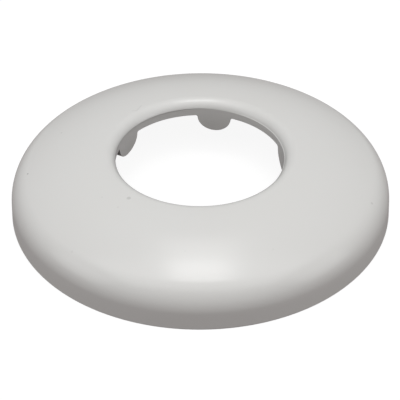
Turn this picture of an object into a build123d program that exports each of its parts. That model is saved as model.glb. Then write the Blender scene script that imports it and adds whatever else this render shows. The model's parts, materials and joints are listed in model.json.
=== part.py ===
"""Pipe escutcheon: the moulded cover ring that hides the hole where a pipe comes out of a wall.

One injection moulding. A shallow dome turns over a rounded shoulder into a short skirt that stands on
the wall. In the middle the dome rolls over a lip into a short collar, and five half-round tabs hang
from the collar and keep the ring centred on the pipe. The underside is open, with the same wall
thickness all over.

Frame: the skirt stands on the wall face, z = 0, and the pipe runs along +Z through the origin.
Units are millimetres and degrees.
"""

from build123d import *
import os
from math import radians, sin, tan

# Driving dimensions
PIPE_DIAMETER = 40.0      # the pipe that passes through
PIPE_GAP = 0.3            # clearance all round the pipe
OUTER_DIAMETER = 92.0     # across the foot of the skirt
DOME_TOP = 15.7           # height of the dome's arc above the wall, over the bore
DOME_RADIUS = 47.0        # the dome's arc, centred under the bore wall
SHOULDER_RADIUS = 7.5     # from the dome into the skirt
SKIRT_DRAFT = 3.0         # lean of the skirt, so that the moulding leaves its tool
LIP_RADIUS = 2.7          # from the dome into the bore
LIP_TURN = 75.0           # how far the lip turns down before it meets the bore at an edge
COLLAR_DEPTH = 4.1        # from the top of the dome's arc down to the foot of the collar
WALL = 1.6                # moulded wall thickness
TAB_COUNT = 5
TAB_RADIUS = 4.25         # half-round end of a tab
TAB_REACH = 4.3           # how far a tab hangs below the collar
FIRST_TAB = 90.0          # direction of the first tab, seen from above, from +X
TAB_LEAN = 1.0            # the tabs lean in, so that they come nearer the pipe than the collar does
ROOT_RADIUS = 0.5         # inside corner where a tab's side meets the collar
EDGE_RADIUS = 0.3         # softened edges of the foot

# Sizes that follow from them
bore_radius = PIPE_DIAMETER / 2 + PIPE_GAP
collar_radius = bore_radius + WALL
lip_wall = bore_radius - LIP_RADIUS * (1 - sin(radians(LIP_TURN)))   # a full quarter round ends here
outer_radius = OUTER_DIAMETER / 2
collar_foot = DOME_TOP - COLLAR_DEPTH
tab_foot = collar_foot - TAB_REACH
lean_start = collar_foot + EDGE_RADIUS   # the bore is straight above this height
below_wall = 2 * WALL     # the section is drawn this far past the wall face, then cut off there


def solid_section():
    """Half section of the ring as if it were solid: bore wall, lip, dome, shoulder and skirt."""
    slope = tan(radians(SKIRT_DRAFT))
    height = DOME_TOP + WALL
    lean = (lean_start + below_wall) * tan(radians(TAB_LEAN))
    blank = Polygon(
        (lip_wall, lean_start),
        (lip_wall - lean, -below_wall),
        (outer_radius + below_wall * slope, -below_wall),
        (outer_radius - height * slope, height),
        (lip_wall, height),
        align=None,
    )
    bore = Polygon(
        (bore_radius, lean_start),
        (bore_radius - lean, -below_wall),
        (0, -below_wall),
        (0, height),
        (bore_radius, height),
        align=None,
    )
    dome = Pos(bore_radius, DOME_TOP - DOME_RADIUS) * Circle(DOME_RADIUS)
    section = blank & dome
    lip_corner = section.vertices().sort_by(Axis.Y)[-1]
    section = fillet(lip_corner, LIP_RADIUS)
    shoulder_corner = section.vertices().group_by(Axis.X)[-2].sort_by(Axis.Y)[-1]
    return fillet(shoulder_corner, SHOULDER_RADIUS) - bore


def shell_section():
    """That section hollowed to the wall thickness and open at the wall face, its collar left tab-long."""
    solid = solid_section()
    shell = solid - offset(solid, -WALL, kind=Kind.INTERSECTION)
    past_wall = Pos(0, -below_wall) * Rectangle(OUTER_DIAMETER, below_wall, align=Align.MIN)
    past_tabs = Rectangle(collar_radius + WALL, tab_foot, align=Align.MIN)
    shell = shell - past_wall - past_tabs
    foot_corners = shell.vertices().group_by(Axis.Y)[0]
    return fillet(foot_corners, EDGE_RADIUS)


def tab_blank():
    """A bar along +X with a tab's outline: half-round end, rounded inside corners, collar above."""
    collar = Rectangle(2 * TAB_RADIUS + 6 * ROOT_RADIUS, WALL, align=(Align.CENTER, Align.MIN))
    above_foot = Rectangle(2 * TAB_RADIUS, TAB_RADIUS, align=(Align.CENTER, Align.MIN))
    half_round = Pos(0, TAB_RADIUS - TAB_REACH) * Circle(TAB_RADIUS) - above_foot
    outline = half_round + collar
    inside_corners = outline.vertices().group_by(Axis.Y)[0].sort_by(Axis.X)[1:-1]
    outline = Pos(0, collar_foot) * fillet(inside_corners, ROOT_RADIUS)
    return extrude(Plane.YZ * outline, collar_radius + 2 * WALL)


def between_tabs():
    """What is cut from the long collar: a thick ring below the collar's foot, less the five tabs."""
    depth = 2 * TAB_REACH
    ring = Cylinder(collar_radius + WALL, depth) - Cylinder(bore_radius - WALL, depth)
    tabs = [place * tab_blank() for place in PolarLocations(0, TAB_COUNT, start_angle=FIRST_TAB)]
    return Pos(0, 0, collar_foot - depth / 2) * ring - tabs


def escutcheon():
    """The whole moulding: the spun shell with its long collar cut into tabs."""
    return revolve(Plane.XZ * shell_section(), Axis.Z) - between_tabs()


os.makedirs("parts", exist_ok=True)
part = escutcheon()
print(f"escutcheon: {len(part.solids())} solid, {part.volume / 1000:.2f} cm3, {part.bounding_box().size}")
export_step(part, "parts/escutcheon.step")
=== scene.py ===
# %% [markdown]
# # A moulded pipe escutcheon
# An escutcheon is the cover ring that hides the ragged hole where a pipe leaves a wall. This one is a
# single injection moulding in white plastic. The lesson spins its section into a mesh with Geometry
# Nodes, shapes the five tabs in its bore by a rule, and gives the plastic the finish of a real moulding.
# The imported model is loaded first, because it fixes the size and the place of everything that follows.

# %% Load the frame
import bpy
import bmesh
import json
from math import acos, atan2, cos, degrees, pi, radians, sin, sqrt
from mathutils import Matrix, Vector


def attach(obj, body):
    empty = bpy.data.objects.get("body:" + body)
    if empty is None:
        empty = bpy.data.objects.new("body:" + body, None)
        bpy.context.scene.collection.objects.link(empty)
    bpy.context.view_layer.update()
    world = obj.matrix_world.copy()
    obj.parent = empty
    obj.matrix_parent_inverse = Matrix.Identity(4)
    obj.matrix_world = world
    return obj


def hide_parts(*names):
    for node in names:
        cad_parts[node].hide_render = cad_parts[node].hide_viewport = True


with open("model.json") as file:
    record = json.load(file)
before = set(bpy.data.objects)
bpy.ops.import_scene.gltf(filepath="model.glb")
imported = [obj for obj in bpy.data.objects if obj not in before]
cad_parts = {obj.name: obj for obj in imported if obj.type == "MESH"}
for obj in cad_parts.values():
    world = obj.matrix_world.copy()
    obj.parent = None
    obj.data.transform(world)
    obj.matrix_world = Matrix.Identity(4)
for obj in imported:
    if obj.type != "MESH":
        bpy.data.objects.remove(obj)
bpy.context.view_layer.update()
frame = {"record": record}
MM = 0.001


# %% [markdown]
# ## Sizes
# A designer would draw this ring from a handful of numbers, and so does the lesson. The bore comes from
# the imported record, so there the mesh and the solid can't drift apart. The other values are the moulding's
# own: a dome struck with one radius, a rounded shoulder, a skirt with a little draft so that it leaves its
# tool, and the same wall thickness all over. Everything is in metres.

# %% Driving sizes
pipe_bore = next(m for m in frame["record"]["mounts"] if m["name"] == "pipe_bore")
BORE_RADIUS = pipe_bore["dims"]["r_mm"] * MM
OUTER_RADIUS = 46.0 * MM
DOME_TOP = 15.7 * MM
DOME_RADIUS = 47.0 * MM
SHOULDER_RADIUS = 7.5 * MM
SKIRT_DRAFT = radians(3.0)
LIP_RADIUS = 2.7 * MM
LIP_TURN = radians(75)
COLLAR_FOOT = 11.6 * MM
WALL = 1.6 * MM
EDGE_RADIUS = 0.3 * MM
COLLAR_RADIUS = BORE_RADIUS + WALL
print(f"bore radius {BORE_RADIUS / MM:.1f} mm, outer radius {OUTER_RADIUS / MM:.1f} mm")

# %% [markdown]
# ## The section
# Half of the ring's section is a closed loop of straight runs and arcs. Arcs touch each other without a
# kink, so the centres are worked out from the sizes instead of being typed in. The dome's centre lies
# under the bore wall, and the shoulder sits between dome and skirt. The lip rolls from the dome towards
# the bore but stops short of upright, so there is a crisp edge where it meets the bore wall. A point of
# the section is kept as (reach from the axis, height above the wall).

# %% Arc centres of the section
dome_centre = Vector((BORE_RADIUS, DOME_TOP - DOME_RADIUS))
lip_reach = LIP_RADIUS * sin(LIP_TURN)
lip_rise = sqrt((DOME_RADIUS - LIP_RADIUS) ** 2 - lip_reach ** 2)
lip_centre = dome_centre + Vector((lip_reach, lip_rise))
skirt_out = Vector((cos(SKIRT_DRAFT), sin(SKIRT_DRAFT)))
skirt_up = Vector((-sin(SKIRT_DRAFT), cos(SKIRT_DRAFT)))
skirt_foot = Vector((OUTER_RADIUS, 0.0))
beside_skirt = skirt_foot - SHOULDER_RADIUS * skirt_out - dome_centre
along = beside_skirt.dot(skirt_up)
across = beside_skirt.length_squared - (DOME_RADIUS - SHOULDER_RADIUS) ** 2
shoulder_centre = dome_centre + beside_skirt + (sqrt(along ** 2 - across) - along) * skirt_up


def direction(start, end):
    """Angle of the line from one section point to another, from the reach axis."""
    return atan2(end.y - start.y, end.x - start.x)


TO_LIP = direction(dome_centre, lip_centre)
TO_SHOULDER = direction(dome_centre, shoulder_centre)
TO_COLLAR = pi - acos((lip_centre.x - COLLAR_RADIUS) / (LIP_RADIUS - WALL))
print(f"dome runs from {90 - degrees(TO_LIP):.1f} to {90 - degrees(TO_SHOULDER):.1f} degrees of slope")

# %% [markdown]
# ## Rows of the mesh
# The section becomes a loop of rows. Each row carries four numbers besides its place. *Inset* says how
# far the row stands in from the outline of the tabs, so that their edge can be rounded. *Lower* marks the
# rows that follow that outline. *Core* marks what the tool's core shaped, and *under* the hidden side.
# Three helpers add rows: one alone, along an arc, or inside a straight run.

# %% Adding rows
ARC_STEP = radians(3.2)
FEWEST_STEPS = 3
SAME_PLACE = 0.001 * MM
rows = []


def add_row(reach, height, inset=0.0, lower=0.0, core=0.0, under=0.0):
    """Adds one row of the mesh to the section's loop, unless the last row is already there."""
    row = (reach, height, inset, lower, core, under)
    if rows and max(abs(new - old) for new, old in zip(row[:3], rows[-1][:3])) < SAME_PLACE:
        return
    rows.append(row)


def add_arc(centre, radius, start, end, step=ARC_STEP, **marks):
    """Adds rows along an arc, both ends included."""
    count = max(FEWEST_STEPS, round(abs(end - start) / step))
    for i in range(count + 1):
        angle = start + (end - start) * i / count
        add_row(centre.x + radius * cos(angle), centre.y + radius * sin(angle), **marks)


def add_line(start, end, count, **marks):
    """Adds rows inside a straight run, without its ends."""
    for i in range(1, count):
        point = start.lerp(end, i / count)
        add_row(point.x, point.y, **marks)


print(f"arcs have a row every {degrees(ARC_STEP):.1f} degrees or so")

# %% [markdown]
# ## The collar
# Below the lip the bore wall runs straight down to the tabs. On the real part the tool's core seems to
# have sat a hair off centre, which left a fine step inside the lip, on one side of the bore. All rows from
# that step down to the foot are marked *core*, so that the spin can shift them together. The lower edge is
# two small quarter rounds, and a close row beside each edge keeps the shading of the large faces clean.

# %% Rows of the collar
SUPPORT = 0.12 * MM
STEP_DROP = 0.05 * MM
TAB_EDGE = 0.12 * MM
CORNER_STEPS = 4


def rounded_edge(face, outward):
    """Reach and inset of the rows round a lower edge, from a face of the collar to its foot."""
    edge = []
    for i in range(CORNER_STEPS + 1):
        turn = pi / 2 * i / CORNER_STEPS
        reach = face + outward * TAB_EDGE * (1 - cos(turn))
        edge.append((reach, TAB_EDGE * (1 - sin(turn))))
    return edge


def collar_rows():
    """The bore wall below the lip, the rounded lower edge, and the collar's hidden face."""
    ledge = lip_centre.y + LIP_RADIUS * cos(LIP_TURN) - STEP_DROP
    add_row(BORE_RADIUS, ledge, core=1)
    add_row(BORE_RADIUS, ledge - SUPPORT, core=1)
    add_row(BORE_RADIUS, COLLAR_FOOT, inset=TAB_EDGE + SUPPORT, lower=1, core=1)
    for reach, inset in rounded_edge(BORE_RADIUS, 1):
        add_row(reach, COLLAR_FOOT, inset=inset, lower=1, core=1)
    for reach, inset in reversed(rounded_edge(COLLAR_RADIUS, -1)):
        add_row(reach, COLLAR_FOOT, inset=inset, lower=1, core=1, under=1)
    add_row(COLLAR_RADIUS, COLLAR_FOOT, inset=TAB_EDGE + SUPPORT, lower=1, core=1, under=1)
    hidden_top = lip_centre.y + (LIP_RADIUS - WALL) * sin(TO_COLLAR)
    add_row(COLLAR_RADIUS, hidden_top - SUPPORT, under=1)


collar_rows()
print(f"{len(rows)} rows for the collar")

# %% [markdown]
# ## The underside
# The hidden face uses the same centres as the face that shows, with radii smaller by the wall, which is
# what an even wall means. Nobody looks at it closely, so its arcs are divided more coarsely. It ends at
# the inner edge of the foot, which has a small round.

# %% Rows of the underside
EDGE_STEP = radians(22)
HIDDEN_SKIRT_STEPS = 4


def underside_rows():
    """The hidden face from the collar out to the foot, one wall thickness inside the face that shows."""
    add_arc(lip_centre, LIP_RADIUS - WALL, TO_COLLAR, TO_LIP, 3 * ARC_STEP, under=1)
    add_arc(dome_centre, DOME_RADIUS - WALL, TO_LIP, TO_SHOULDER, ARC_STEP / 2, under=1)
    add_arc(shoulder_centre, SHOULDER_RADIUS - WALL, TO_SHOULDER, SKIRT_DRAFT, 2 * ARC_STEP, under=1)
    inner_foot = (skirt_foot - (WALL - EDGE_RADIUS) * skirt_out).x + EDGE_RADIUS * skirt_up.x
    corner = Vector((inner_foot, EDGE_RADIUS))
    bottom = corner - EDGE_RADIUS * skirt_out
    top = shoulder_centre + (SHOULDER_RADIUS - WALL) * skirt_out
    add_line(top, bottom, HIDDEN_SKIRT_STEPS, under=1)
    add_row(*(bottom + SUPPORT * skirt_up), under=1)
    add_arc(corner, EDGE_RADIUS, -pi + SKIRT_DRAFT, -pi / 2, EDGE_STEP, under=1)


underside_rows()
print(f"{len(rows)} rows with the underside")

# %% [markdown]
# ## The face that shows
# From the foot the loop climbs the skirt, turns over the shoulder, crosses the dome and rolls down the lip
# to the crisp edge of the bore, where it closes on the first row. The dome's arc is divided most finely,
# because a broad highlight shows every facet. Its rows start and stop a little inside its ends, because
# the shoulder and the lip already have rows there.

# %% Rows of the outer face
SKIRT_STEPS = 5


def outer_rows():
    """The face that shows: foot, skirt, shoulder, dome and lip, up to the edge of the bore."""
    outer_foot = (skirt_foot - EDGE_RADIUS * skirt_out).x + EDGE_RADIUS * skirt_up.x
    corner = Vector((outer_foot, EDGE_RADIUS))
    bottom = corner + EDGE_RADIUS * skirt_out
    top = shoulder_centre + SHOULDER_RADIUS * skirt_out
    add_arc(corner, EDGE_RADIUS, -pi / 2, SKIRT_DRAFT, EDGE_STEP)
    add_row(*(bottom + SUPPORT * skirt_up))
    add_line(bottom, top, SKIRT_STEPS)
    add_arc(shoulder_centre, SHOULDER_RADIUS, SKIRT_DRAFT, TO_SHOULDER)
    add_arc(dome_centre, DOME_RADIUS, TO_SHOULDER + ARC_STEP / 4, TO_LIP - ARC_STEP / 8, ARC_STEP / 3)
    add_arc(lip_centre, LIP_RADIUS, TO_LIP, pi / 2 + LIP_TURN)


outer_rows()
print(f"{len(rows)} rows in the whole section")

# %% [markdown]
# ## Sums on sockets
# A node tree is a formula, and a formula reads best as Python. This small class wraps an output socket.
# A sum or a product on it adds a Math node to the tree, also when a plain number comes first. Every other
# node comes from one method, which sets the node's own settings before it fills or links its sockets.

# %% A socket that does sums
class Term:
    """An output socket of a node tree, with arithmetic that adds Math nodes."""

    def __init__(self, tree, socket=None):
        self.tree = tree
        self.socket = socket

    def node(self, kind, settings=None, inputs=None, output=0):
        """Adds a node, applies its settings, then fills or links its sockets, and returns one output."""
        made = self.tree.nodes.new(kind)
        for name, value in (settings or {}).items():
            setattr(made, name, value)
        for key, value in (inputs or {}).items():
            if isinstance(value, Term):
                self.tree.links.new(value.socket, made.inputs[key])
            else:
                made.inputs[key].default_value = value
        return Term(self.tree, made.outputs[output] if made.outputs else None)

    def math(self, operation, *values):
        """A Math node on up to three values or terms."""
        return self.node("ShaderNodeMath", {"operation": operation}, dict(enumerate(values)))

    def __add__(self, other):
        return self.math("ADD", self, other)

    def __sub__(self, other):
        return self.math("SUBTRACT", self, other)

    def __mul__(self, other):
        return self.math("MULTIPLY", self, other)

    def __truediv__(self, other):
        return self.math("DIVIDE", self, other)

    def __rsub__(self, other):
        return self.math("SUBTRACT", other, self)

    def __rtruediv__(self, other):
        return self.math("DIVIDE", other, self)

    __radd__ = __add__
    __rmul__ = __mul__

    def clamped(self):
        """The same value, held between 0 and 1."""
        return self.node("ShaderNodeClamp", inputs={"Value": self})


print("Term wraps a socket")

# %% [markdown]
# ## Tabs by rule
# A lathe would make the ring, but not the tabs. Cutting them with booleans leaves a messy mesh, so the
# columns of the spin are laid out along the tabs' own outline instead. Each half pitch of columns runs up
# one half of a half-round tab, round the small inside corner at its root, and along the collar to the
# middle of the gap. The sizes become named inputs of the node tree.

# %% Sizes of the tabs
TAB_SIZES = {
    "Tab Count": 5,
    "Tab Radius": 4.25 * MM,
    "Tab Reach": 4.3 * MM,
    "Root Radius": 0.5 * MM,
    "First Tab": radians(90),
    "Bore Radius": BORE_RADIUS,
    "Tab Lean": radians(1.0),
    "Lean Start": COLLAR_FOOT + EDGE_RADIUS,
    "Core Shift": 0.16 * MM,
    "Core Direction": radians(0),
}
TAB_COLUMNS = 16
ROOT_COLUMNS = 5
GAP_COLUMNS = 14
HALF_PITCH = TAB_COLUMNS + ROOT_COLUMNS + GAP_COLUMNS
print(f"{TAB_SIZES['Tab Count']} tabs, {TAB_SIZES['Tab Count'] * 2 * HALF_PITCH} columns round the ring")

# %% [markdown]
# ## A tree with named inputs
# A node tree that has its sizes as inputs can be reused with other numbers. One helper makes such a tree.
# Two more keep a value on each point under a name and read it back, which is how the rows and the columns
# pass on what they know to the points that the sweep makes of them.

# %% Helpers for the tree
def new_tree(name, sizes):
    """A geometry node tree with one geometry in, one out, and a named number for each size."""
    tree = bpy.data.node_groups.new(name, "GeometryNodeTree")
    tree.interface.new_socket("Geometry", in_out="INPUT", socket_type="NodeSocketGeometry")
    tree.interface.new_socket("Geometry", in_out="OUTPUT", socket_type="NodeSocketGeometry")
    for label in sizes:
        kind = "NodeSocketInt" if isinstance(sizes[label], int) else "NodeSocketFloat"
        tree.interface.new_socket(label, in_out="INPUT", socket_type=kind)
    source = tree.nodes.new("NodeGroupInput")
    return tree, {socket.name: Term(tree, socket) for socket in source.outputs if socket.name}


def store(build, geometry, name, value):
    """Keeps a value on each point of a geometry, under a name."""
    return build.node("GeometryNodeStoreNamedAttribute", {"data_type": "FLOAT", "domain": "POINT"},
                      {"Geometry": geometry, "Name": name, "Value": value})


def stored(build, name):
    """Reads such a value back."""
    return build.node("GeometryNodeInputNamedAttribute", {"data_type": "FLOAT"}, {"Name": name})


print("the tree will have", len(TAB_SIZES), "named sizes")

# %% [markdown]
# ## Columns along the outline
# The spin's path is a circle with one point for each column. From its number a column knows its tab, its
# side of that tab and how far along the outline it stands. On the half round and in the root the outline
# is an arc, so its place, its depth below the collar's foot and its direction come from one angle.

# %% The outline's columns
HALF_STEP = 0.5   # keeps whole numbers clear of rounding when they are compared


def outline_columns(build, size):
    """The spin's path: a circle whose points know their angle and where the tabs' outline runs there."""
    pitch = 2 * HALF_PITCH
    path = build.node("GeometryNodeCurvePrimitiveCircle", {"mode": "RADIUS"},
                      {"Resolution": size["Tab Count"] * pitch, "Radius": OUTER_RADIUS})
    index = build.node("GeometryNodeInputIndex")
    tab = build.math("FLOOR", (index + HALF_STEP) / pitch)
    signed = index - tab * pitch - HALF_PITCH
    step = build.math("ABSOLUTE", signed)
    on_tab = build.math("LESS_THAN", step, TAB_COLUMNS + HALF_STEP)
    beyond = ((step - TAB_COLUMNS) / ROOT_COLUMNS).clamped()
    in_gap = ((step - TAB_COLUMNS - ROOT_COLUMNS) / GAP_COLUMNS).clamped()

    drop = size["Tab Reach"] - size["Tab Radius"]
    between = size["Tab Radius"] + size["Root Radius"]
    below = size["Root Radius"] - drop
    root_place = build.math("SQRT", between * between - below * below)
    steepest = build.math("ARCCOSINE", below / between)
    lean = steepest * (on_tab * step / TAB_COLUMNS + (1 - on_tab) * (1 - beyond))
    sideways = build.math("SINE", lean)
    downwards = build.math("COSINE", lean)

    tab_place = size["Tab Radius"] * sideways
    past_tab = root_place - size["Root Radius"] * sideways
    tab_depth = drop + size["Tab Radius"] * downwards
    root_depth = size["Root Radius"] - size["Root Radius"] * downwards
    knows = {
        "tab angle": size["First Tab"] + tab * (2 * pi / size["Tab Count"]),
        "tab side": build.math("SIGN", signed),
        "place": on_tab * tab_place + (1 - on_tab) * past_tab,
        "gap share": in_gap,
        "depth": on_tab * tab_depth + (1 - on_tab) * root_depth,
        "sideways": sideways,
        "downwards": downwards,
    }
    for name, value in knows.items():
        path = store(build, path, name, value)
    return path


print(f"{TAB_COLUMNS} columns on half a tab, {ROOT_COLUMNS} in its root, {GAP_COLUMNS} to mid-gap")

# %% [markdown]
# ## The spin
# The sweep only ties rows and columns together: each point is then put exactly where the rule says. Rows
# marked *lower* follow the tabs' outline, each set in along the outline's normal, which rounds the edge
# evenly all the way. They also lean towards the pipe, and what the core shaped is shifted to one side.

# %% The spin's tree
def spin_tree(material):
    """Spins the section along the outline's columns and sets each point by rule."""
    tree, size = new_tree("escutcheon_spin", TAB_SIZES)
    build = Term(tree)
    place = build.node("GeometryNodeInputPosition")
    reach = build.node("ShaderNodeSeparateXYZ", inputs={"Vector": place}, output="X")
    height = build.node("ShaderNodeSeparateXYZ", inputs={"Vector": place}, output="Z")
    section = store(build, size["Geometry"], "reach", reach)
    section = store(build, section, "height", height)
    loop = build.node("GeometryNodeMeshToCurve", inputs={"Mesh": section})
    columns = outline_columns(build, size)
    ring = build.node("GeometryNodeCurveToMesh", inputs={"Curve": columns, "Profile Curve": loop})

    lower = stored(build, "lower")
    inset = lower * stored(build, "inset")
    height = stored(build, "height") - lower * stored(build, "depth") + inset * stored(build, "downwards")
    sink = lower * build.math("MAXIMUM", size["Lean Start"] - height, 0.0)
    reach = stored(build, "reach") - sink * build.math("TANGENT", size["Tab Lean"])

    pivot = size["Bore Radius"] + lower * (reach - size["Bore Radius"])
    edge = build.math("ARCSINE", (stored(build, "place") - inset * stored(build, "sideways")) / pivot)
    turn = edge + stored(build, "gap share") * (pi / size["Tab Count"] - edge)
    angle = stored(build, "tab angle") + stored(build, "tab side") * turn
    shift = stored(build, "core") * size["Core Shift"]
    across = reach * build.math("COSINE", angle) - shift * build.math("COSINE", size["Core Direction"])
    back = reach * build.math("SINE", angle) - shift * build.math("SINE", size["Core Direction"])
    target = build.node("ShaderNodeCombineXYZ", inputs={"X": across, "Y": back, "Z": height})
    ring = build.node("GeometryNodeSetPosition", inputs={"Geometry": ring, "Position": target})
    ring = build.node("GeometryNodeSetShadeSmooth", inputs={"Geometry": ring})
    ring = build.node("GeometryNodeRealizeInstances", inputs={"Geometry": ring})
    ring = build.node("GeometryNodeSetMaterial", inputs={"Geometry": ring, "Material": material})
    build.node("NodeGroupOutput", inputs={"Geometry": ring})
    return tree


print(f"the spin ties {len(rows)} rows to its columns")

# %% [markdown]
# ## Marks on the dome
# This part has picked up a few marks: dark specks pressed into the dome, and one faint scratch beside the
# lip. They could be painted on a texture, but a mark that is a place and a size stays sharp at any
# distance. Each is given by its angle round the ring and its reach from the axis, and lies on the surface.

# %% Specks and scratch
SPECKS = (  # angle in degrees, reach and radius in millimetres, and how dark
    (239.6, 24.8, 0.62, 0.22),
    (173.1, 35.8, 0.22, 0.45),
    (194.6, 41.4, 0.24, 0.75),
    (228.8, 28.6, 0.30, 0.06),
    (239.6, 28.4, 0.32, 0.08),
    (238.1, 42.4, 0.38, 0.08),
    (275.1, 35.1, 0.25, 0.04),
    (306.1, 37.2, 0.30, 0.05),
    (351.0, 42.4, 0.42, 0.17),
)
SCRATCH = ((146.0, 23.6), (144.2, 22.9), (138.2, 24.0))   # angle in degrees, reach in millimetres


def on_dome(angle, reach):
    """The point on the outer face at an angle in degrees and a reach in millimetres."""
    reach = reach * MM
    centre, radius = dome_centre, DOME_RADIUS
    if reach > dome_centre.x + DOME_RADIUS * cos(TO_SHOULDER):
        centre, radius = shoulder_centre, SHOULDER_RADIUS
    height = centre.y + sqrt(radius ** 2 - (reach - centre.x) ** 2)
    return Vector((reach * cos(radians(angle)), reach * sin(radians(angle)), height))


scratch_points = [on_dome(*point) for point in SCRATCH]
scratch_runs = list(zip(scratch_points, scratch_points[1:]))
scratch_length = sum((end - start).length for start, end in scratch_runs)
print(f"{len(SPECKS)} specks, and a scratch {scratch_length / MM:.1f} mm long")

# %% [markdown]
# ## Masks for the marks
# A mask is a number from 0 to 1 that says how much of a mark there is at a place. A speck's mask comes
# from the distance to its middle. The scratch's comes from the distance to the nearest point of its runs.

# %% Masks
SCRATCH_HALF_WIDTH = 0.25 * MM


def vector_math(build, operation, first, second, output="Value"):
    """A Vector Math node on two vectors."""
    return build.node("ShaderNodeVectorMath", {"operation": operation}, {0: first, 1: second}, output)


def speck_mask(build, place):
    """How dark the specks are at a place. Each fades out over the outer half of its radius."""
    mask = None
    for angle, reach, radius, darkness in SPECKS:
        distance = vector_math(build, "DISTANCE", place, on_dome(angle, reach))
        spot = darkness * (2 - distance / (radius * MM / 2)).clamped()
        mask = spot if mask is None else build.math("MAXIMUM", mask, spot)
    return mask


def scratch_mask(build, place):
    """1 along the scratch, fading out to both sides of its two runs."""
    mask = None
    for start, end in scratch_runs:
        line = end - start
        from_start = vector_math(build, "SUBTRACT", place, start, "Vector")
        share = vector_math(build, "DOT_PRODUCT", from_start, line / line.length_squared).clamped()
        nearest = build.node("ShaderNodeVectorMath", {"operation": "SCALE"}, {0: line, "Scale": share})
        distance = vector_math(build, "DISTANCE", from_start, nearest)
        run = (1 - distance / SCRATCH_HALF_WIDTH).clamped()
        mask = run if mask is None else build.math("MAXIMUM", mask, run)
    return mask


print(f"the scratch is {2 * SCRATCH_HALF_WIDTH / MM:.1f} mm wide at its faint edges")

# %% [markdown]
# ## Patterns in the plastic
# No moulding is quite the same all over. Resin and tool leave a broad drift, a low ripple and a fine
# grain, so there is noise of three sizes. An image could hold such patterns, but noise has no seams and
# no pixels. The hidden side also has fine turning rings, as from the lathe that cut the core. They are
# waves in the distance from the pipe's axis.

# %% Noise and rings
DRIFT = {"size": 30 * MM, "detail": 2.0}
RIPPLE = {"size": 5 * MM, "detail": 2.0}
GRAIN = {"size": 0.5 * MM, "detail": 3.0}
RING_PITCH = 0.5 * MM


def noise(build, place, size, detail):
    """Soft noise with features of about the given size in metres, from 0 to 1."""
    return build.node("ShaderNodeTexNoise", inputs={"Vector": place, "Scale": 1 / size, "Detail": detail})


def turning_rings(build, place):
    """Waves round the pipe's axis, from -1 to 1."""
    across = build.node("ShaderNodeSeparateXYZ", inputs={"Vector": place}, output="X")
    back = build.node("ShaderNodeSeparateXYZ", inputs={"Vector": place}, output="Y")
    reach = build.math("SQRT", across * across + back * back)
    return build.math("SINE", reach * (2 * pi / RING_PITCH))


print("noise of", [round(pattern["size"] / MM, 1) for pattern in (DRIFT, RIPPLE, GRAIN)], "mm")

# %% [markdown]
# ## The white plastic
# The real finish is a satin-gloss white: the tool was polished, but not to a mirror. A plain white
# shader looks like paper, so the patterns come in here. The drift warms the white a little and varies the
# gloss, which is duller on the hidden side, where nobody polishes a tool. Ripple and grain make a very
# low relief that softens the edges of highlights, and the rings are there on the hidden side only. The
# marks come last.

# %% The plastic's nodes
WHITE = (0.80, 0.80, 0.79, 1.0)
WARM_WHITE = (0.78, 0.775, 0.755, 1.0)
SPECK_GREY = (0.15, 0.14, 0.13, 1.0)
SCRATCH_DARKNESS = 0.12
PLASTIC_IOR = 1.46
RELIEF_DEPTH = 0.02 * MM
RELIEF = {"ripple": 0.6, "grain": 0.08, "rings": 0.06, "hidden grain": 0.2, "scratch": 0.5}
ROUGHNESS = {"polish": 0.17, "drift": 0.06, "grain": 0.04, "hidden side": 0.25, "specks": 0.2}


def mix_colour(build, factor, first, second):
    """A Mix node between two colours. It has several sockets of each name, so they go by number."""
    return build.node("ShaderNodeMix", {"data_type": "RGBA"}, {0: factor, 6: first, 7: second}, output=2)


def white_plastic():
    """The finish of the whole moulding."""
    material = bpy.data.materials.new("white_plastic")
    material.use_nodes = True
    material.node_tree.nodes.clear()
    build = Term(material.node_tree)
    place = build.node("ShaderNodeTexCoord", output="Object")
    under = build.node("ShaderNodeAttribute", {"attribute_name": "under"}, output="Fac")
    specks = speck_mask(build, place)
    scratch = scratch_mask(build, place)
    drift = noise(build, place, **DRIFT)
    ripple = noise(build, place, **RIPPLE)
    grain = noise(build, place, **GRAIN)

    colour = mix_colour(build, drift, WHITE, WARM_WHITE)
    colour = mix_colour(build, specks + scratch * SCRATCH_DARKNESS, colour, SPECK_GREY)
    hidden = turning_rings(build, place) * RELIEF["rings"] + grain * RELIEF["hidden grain"]
    relief = ripple * RELIEF["ripple"] + grain * RELIEF["grain"] + under * hidden
    relief = relief - scratch * RELIEF["scratch"]
    normal = build.node("ShaderNodeBump", inputs={
        "Strength": 1.0, "Distance": RELIEF_DEPTH, "Height": relief})
    roughness = ROUGHNESS["polish"] + drift * ROUGHNESS["drift"] + grain * ROUGHNESS["grain"]
    roughness = roughness + under * ROUGHNESS["hidden side"] + specks * ROUGHNESS["specks"]
    shader = build.node("ShaderNodeBsdfPrincipled", inputs={
        "Base Color": colour, "Roughness": roughness, "Normal": normal, "IOR": PLASTIC_IOR})
    build.node("ShaderNodeOutputMaterial", inputs={"Surface": shader})
    return material


plastic = white_plastic()
print("white plastic:", len(plastic.node_tree.nodes), "nodes")

# %% [markdown]
# ## From rows to a loop
# The rows become a small mesh of points and edges, with their marks stored as attributes. The tree spins
# that loop, and the result is baked to a plain mesh, so nothing is left to evaluate later. Only the mark
# of the hidden side is kept, because the plastic reads it.

# %% The loop and its spin
ROW_MARKS = ("inset", "lower", "core", "under")
WORKING_MARKS = ("inset", "lower", "core", "reach", "height", "tab angle", "tab side", "place",
                 "gap share", "depth", "sideways", "downwards")


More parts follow.
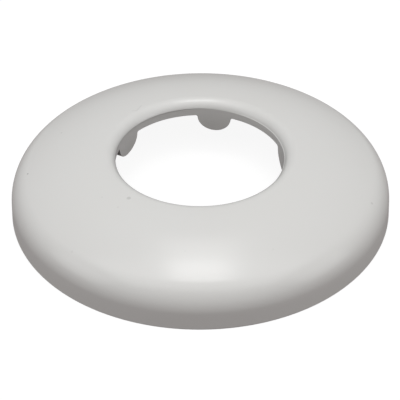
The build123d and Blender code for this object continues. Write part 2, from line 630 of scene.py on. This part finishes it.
def section_object():
    """A mesh with one vertex for each row, joined in a loop, and the row's marks as attributes."""
    mesh = bpy.data.meshes.new("escutcheon_section")
    count = len(rows)
    edges = [(i, (i + 1) % count) for i in range(count)]
    mesh.from_pydata([(row[0], 0.0, row[1]) for row in rows], edges, [])
    for column, name in enumerate(ROW_MARKS, start=2):
        marks = mesh.attributes.new(name, "FLOAT", "POINT")
        marks.data.foreach_set("value", [row[column] for row in rows])
    section = bpy.data.objects.new("escutcheon_section", mesh)
    bpy.context.scene.collection.objects.link(section)
    return section


def spun(section, tree, sizes):
    """The mesh that the tree makes of the section."""
    modifier = section.modifiers.new("spin", "NODES")
    modifier.node_group = tree
    for socket in tree.interface.items_tree:
        if socket.in_out == "INPUT" and socket.name in sizes:
            modifier[socket.identifier] = sizes[socket.name]
    graph = bpy.context.evaluated_depsgraph_get()
    mesh = bpy.data.meshes.new_from_object(section.evaluated_get(graph), depsgraph=graph)
    section.modifiers.remove(modifier)
    bpy.data.objects.remove(section)
    for name in WORKING_MARKS:
        mesh.attributes.remove(mesh.attributes[name])
    return mesh


moulding_mesh = spun(section_object(), spin_tree(plastic), TAB_SIZES)
moulding_mesh.name = "escutcheon_moulding"
print(len(moulding_mesh.polygons), "faces in the spun mesh")

# %% [markdown]
# ## The moulding
# The faces are turned outwards. The volume and the number of open edges are printed, because a hole or a
# fold would show in them at once. Then the piece is tied to the frame: it moves with the one body and
# stands for the solid, which is hidden.

# %% The finished piece
def face_outwards(mesh):
    """Turns every face outwards, and returns the closed volume and the number of open edges."""
    work = bmesh.new()
    work.from_mesh(mesh)
    bmesh.ops.recalc_face_normals(work, faces=work.faces)
    volume = work.calc_volume(signed=True)
    open_edges = sum(1 for edge in work.edges if len(edge.link_faces) != 2)
    work.to_mesh(mesh)
    work.free()
    return volume, open_edges


volume, open_edges = face_outwards(moulding_mesh)
moulding = bpy.data.objects.new("escutcheon_moulding", moulding_mesh)
bpy.context.scene.collection.objects.link(moulding)
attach(moulding, "root")
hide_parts("escutcheon")
print(f"{volume / MM ** 3:.0f} mm3, {open_edges} open edges")

# %% [markdown]
# ## The floor
# The part stands on white paper. The paper is white to the eye, but the photograph's plastic hardly
# mirrors it, so reflections show it fainter, and the light that it spreads is lower still. That keeps the
# skirt and the tabs as shaded as they are in the photograph. A little of the paper's own diffuse light is
# left in, and it carries the part's shadow.

# %% White paper
FLOOR_SIZE = 6.0
FLOOR_DROP = 0.02 * MM
PAPER_WHITE = (1.0, 1.0, 1.0, 1.0)
PAPER_GLOW = 0.92
PAPER_SHADE = (0.14, 0.14, 0.14, 1.0)
FLOOR_BOUNCE = (0.10, 0.065, 0.06, 1.0)
MIRRORED = 0.25   # the part of the white that reflections show


def seen_directly(build):
    """1 for rays from the camera or through glass, a part of it for reflections, 0 for spread light."""
    rays = build.node("ShaderNodeLightPath", output="Is Camera Ray")
    rays = rays + build.node("ShaderNodeLightPath", output="Is Transmission Ray")
    return (rays + MIRRORED * build.node("ShaderNodeLightPath", output="Is Glossy Ray")).clamped()


def floor_paper():
    """White paper with a faint shadow for the eye, and a quiet bounce for the part."""
    material = bpy.data.materials.new("floor_paper")
    material.use_nodes = True
    material.node_tree.nodes.clear()
    build = Term(material.node_tree)
    glow = build.node("ShaderNodeEmission", inputs={"Color": PAPER_WHITE, "Strength": PAPER_GLOW})
    shaded = build.node("ShaderNodeBsdfDiffuse", inputs={"Color": PAPER_SHADE})
    shown = build.node("ShaderNodeAddShader", inputs={0: glow, 1: shaded})
    bounce = build.node("ShaderNodeBsdfDiffuse", inputs={"Color": FLOOR_BOUNCE})
    mixed = build.node("ShaderNodeMixShader", inputs={0: seen_directly(build), 1: bounce, 2: shown})
    build.node("ShaderNodeOutputMaterial", inputs={"Surface": mixed})
    return material


def make_floor():
    """One large square under the part, a hair below its foot so that their faces don't coincide."""
    half = FLOOR_SIZE / 2
    mesh = bpy.data.meshes.new("floor")
    sides = [(-half, -half), (half, -half), (half, half), (-half, half)]
    mesh.from_pydata([(x, y, -FLOOR_DROP) for x, y in sides], [], [(0, 1, 2, 3)])
    mesh.materials.append(floor_paper())
    floor = bpy.data.objects.new("floor", mesh)
    bpy.context.scene.collection.objects.link(floor)


make_floor()
print(f"floor {FLOOR_SIZE:.0f} m square, {FLOOR_DROP / MM:.2f} mm below the foot")

# %% [markdown]
# ## The room
# A plain grey room fills the shadows. To the eye it is as white as the paper is far away, so that a low
# view shows hardly any horizon. Reflections show that white as faintly as they show the paper's.

# %% Grey room
ROOM_TINT = (1.0, 0.99, 0.98, 1.0)
ROOM_LIGHT = 0.27
FAR_PAPER = 0.96


def make_world():
    """A grey room for the light, and white for the eye."""
    world = bpy.data.worlds.new("room")
    world.use_nodes = True
    world.node_tree.nodes.clear()
    build = Term(world.node_tree)
    room = build.node("ShaderNodeBackground", inputs={"Color": ROOM_TINT, "Strength": ROOM_LIGHT})
    white = build.node("ShaderNodeBackground", inputs={"Color": PAPER_WHITE, "Strength": FAR_PAPER})
    mixed = build.node("ShaderNodeMixShader", inputs={0: seen_directly(build), 1: room, 2: white})
    build.node("ShaderNodeOutputWorld", inputs={"Surface": mixed})
    bpy.context.scene.world = world


make_world()
print(f"room light {ROOM_LIGHT}, white to the eye at {FAR_PAPER}")

# %% [markdown]
# ## The camera
# The photograph looks down at about 37 degrees from close by, so the near side of the ring looks larger
# than the far side. The camera repeats that distance, and its lens follows from the photograph's frame.
# The camera is turned a little round the axis, which puts the tabs where the photograph shows them.

# %% Camera
PHOTO_SIDE = 400        # pixels
PHOTO_FOCAL = 1322.6    # pixels
CAMERA_DISTANCE = 7.0 * OUTER_RADIUS
CAMERA_ELEVATION = radians(37.14)
CAMERA_TURN = radians(10.7)
CAMERA_AIM = 0.12 * OUTER_RADIUS
CAMERA_PITCH = radians(37.875)
CAMERA_ROLL = radians(-0.34)
CAMERA_YAW = radians(0.023)
SENSOR = 36.0           # the sensor's width, in the lens's millimetres
NEAREST_SEEN = 0.01


def make_camera():
    """The camera at the photograph's place, with the photograph's lens."""
    data = bpy.data.cameras.new("camera")
    data.sensor_width = SENSOR
    data.lens = PHOTO_FOCAL / PHOTO_SIDE * SENSOR
    data.clip_start = NEAREST_SEEN
    camera = bpy.data.objects.new("camera", data)
    bpy.context.scene.collection.objects.link(camera)
    back = CAMERA_DISTANCE * cos(CAMERA_ELEVATION)
    up = CAMERA_DISTANCE * sin(CAMERA_ELEVATION) + CAMERA_AIM
    turn = Matrix.Rotation(CAMERA_TURN, 4, "Z")
    aim = Matrix.Rotation(CAMERA_YAW, 4, "Z") @ Matrix.Rotation(pi / 2 - CAMERA_PITCH, 4, "X")
    roll = Matrix.Rotation(CAMERA_ROLL, 4, "Z")
    camera.matrix_world = turn @ Matrix.Translation((0, -back, up)) @ aim @ roll
    bpy.context.scene.camera = camera
    return camera


camera = make_camera()
print("camera at", [round(x, 4) for x in camera.location], "lens", round(camera.data.lens, 2))

# %% [markdown]
# ## The lamps
# A glossy part mirrors its lamps, so each lamp here has its own job. A small one hangs almost straight
# above. Its reflection is the bright patch on the near side of the dome, which stops where the shoulder
# turns down, and the fine bright line along the far lip. A fainter lamp behind it softens the patch's
# upper edge. Most of the light comes from a wide lamp, a little to the camera's side, and two low lamps
# at the sides keep the shoulders from going dark.

# %% Lamps
LAMPS = {
    "overhead": {"azimuth": 0, "elevation": 86, "distance": 0.8, "size": (0.26, 0.20), "power": 0.76},
    "behind": {"azimuth": 180, "elevation": 82, "distance": 0.8, "size": (0.26, 0.30), "power": 0.62},
    "front": {"azimuth": 0, "elevation": 72, "distance": 0.9, "size": (1.4, 0.8), "power": 3.75},
    "low_left": {"azimuth": -71, "elevation": 20, "distance": 0.8, "size": (0.45, 0.45), "power": 0.74},
    "low_right": {"azimuth": 71, "elevation": 20, "distance": 0.8, "size": (0.45, 0.45), "power": 0.81},
}


def make_lamp(name, azimuth, elevation, distance, size, power):
    """A soft rectangular lamp that faces the part. Azimuth 0 is the camera's side."""
    data = bpy.data.lights.new(name, "AREA")
    data.shape = "RECTANGLE"
    data.size, data.size_y = size
    data.energy = power
    lamp = bpy.data.objects.new(name, data)
    bpy.context.scene.collection.objects.link(lamp)
    turn = radians(azimuth) + CAMERA_TURN
    flat = cos(radians(elevation))
    away = Vector((flat * sin(turn), -flat * cos(turn), sin(radians(elevation))))
    lamp.location = distance * away
    lamp.rotation_euler = away.to_track_quat("Z", "Y").to_euler()


for name, lamp in LAMPS.items():
    make_lamp(name, **lamp)
print(len(LAMPS), "lamps")

# %% [markdown]
# ## The colours
# The colours are shown as they are written, with no film curve.

# %% Finish
bpy.context.scene.view_settings.view_transform = "Standard"
